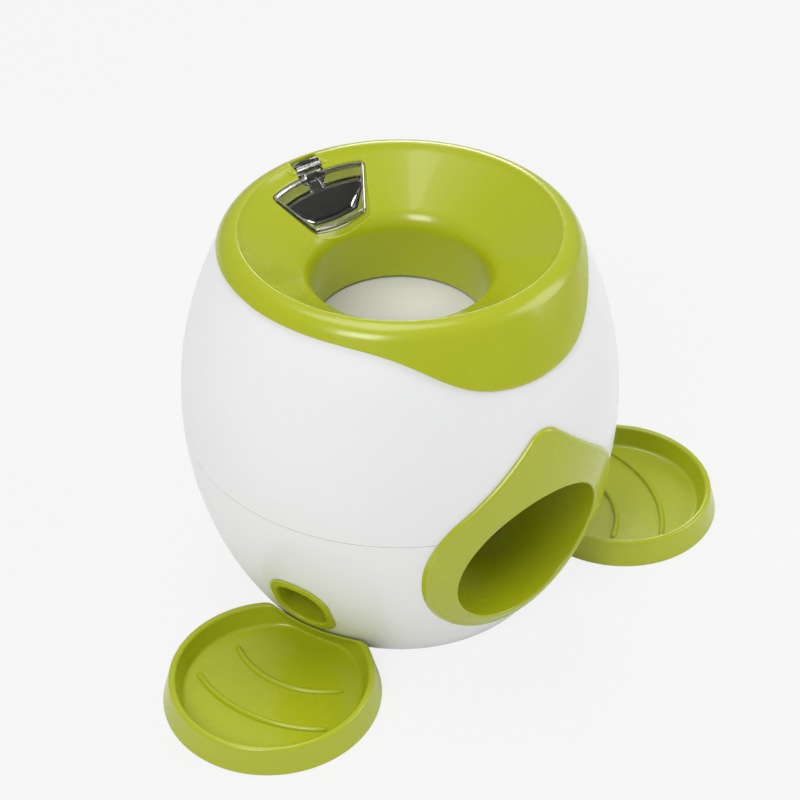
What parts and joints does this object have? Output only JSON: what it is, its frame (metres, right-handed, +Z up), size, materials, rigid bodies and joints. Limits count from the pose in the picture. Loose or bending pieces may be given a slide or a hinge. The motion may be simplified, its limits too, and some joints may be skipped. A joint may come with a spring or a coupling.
{
  "type": "ball-drop dog treat dispenser",
  "caption": "Egg-shaped dispenser: a ball dropped in the funnel tips a cup, rolls out at the front and doses treats into two side trays.",
  "frame": {"origin": "on the floor, on the vertical axis through the middle of the round body", "axes": "+Z up, -Y towards the ball exit at the front, +X towards the right-hand tray seen from above with the front at the bottom"},
  "size_m": [0.3882, 0.2523, 0.2315],
  "materials": {
    "white_shell": "moulded white, soft gloss",
    "green_plastic": "moulded lime green, high gloss",
    "clear_plastic": "clear moulded plastic, polished",
    "white_inner": "moulded white, satin",
    "smoke_plastic": "dark moulded plastic, satin",
    "grey_inner": "moulded light grey, satin",
    "drum_plastic": "self-lubricating natural plastic",
    "steel": "plain turned steel",
    "foot_rubber": "moulded black rubber"
  },
  "bodies": {
    "housing": {"lower_shell": "white_shell", "upper_shell": "white_shell", "funnel_top": "green_plastic", "hatch_hinge_pin": "steel", "hopper": "smoke_plastic", "ball_exit_bezel": "green_plastic", "treat_outlet_right": "green_plastic", "treat_outlet_left": "green_plastic", "side_frame_right": "grey_inner", "side_frame_left": "grey_inner", "stop_rod": "steel", "axle_bush_right": "drum_plastic", "axle_bush_left": "drum_plastic", "drum_housing_right": "grey_inner", "drum_housing_left": "grey_inner", "treat_chute_right": "grey_inner", "treat_chute_left": "grey_inner", "ball_ramp": "white_inner", "base_plate": "white_inner", "rubber_foot_1": "foot_rubber", "rubber_foot_2": "foot_rubber", "rubber_foot_3": "foot_rubber", "rubber_foot_4": "foot_rubber", "base_screw_1": "steel", "base_screw_2": "steel", "base_screw_3": "steel", "base_screw_4": "steel"},
    "hatch": {"hatch_lid": "clear_plastic"},
    "cup": {"ball_cup": "white_inner", "tail_weight": "steel", "cup_axle": "steel", "dose_drum_right": "drum_plastic", "dose_drum_left": "drum_plastic"},
    "tray_right": {"tray_right": "green_plastic"},
    "tray_left": {"tray_left": "green_plastic"}
  },
  "joints": [
    {"name": "hatch_hinge", "type": "hinge", "parent": "housing", "child": "hatch", "pos_m": [0, 0.0864, 0.2267], "axis": [-1, 0, 0], "range_deg": [0, 100]},
    {"name": "cup_tip", "type": "hinge", "parent": "housing", "child": "cup", "pos_m": [0, 0.064, 0.1554], "axis": [1, 0, 0], "range_deg": [0, 42]},
    {"name": "tray_right_pull", "type": "slide", "parent": "housing", "child": "tray_right", "axis": [0.9311, -0.3649, 0], "range_m": [0, 0.03]},
    {"name": "tray_left_pull", "type": "slide", "parent": "housing", "child": "tray_left", "axis": [-0.9311, -0.3649, 0], "range_m": [0, 0.03]}
  ]
}
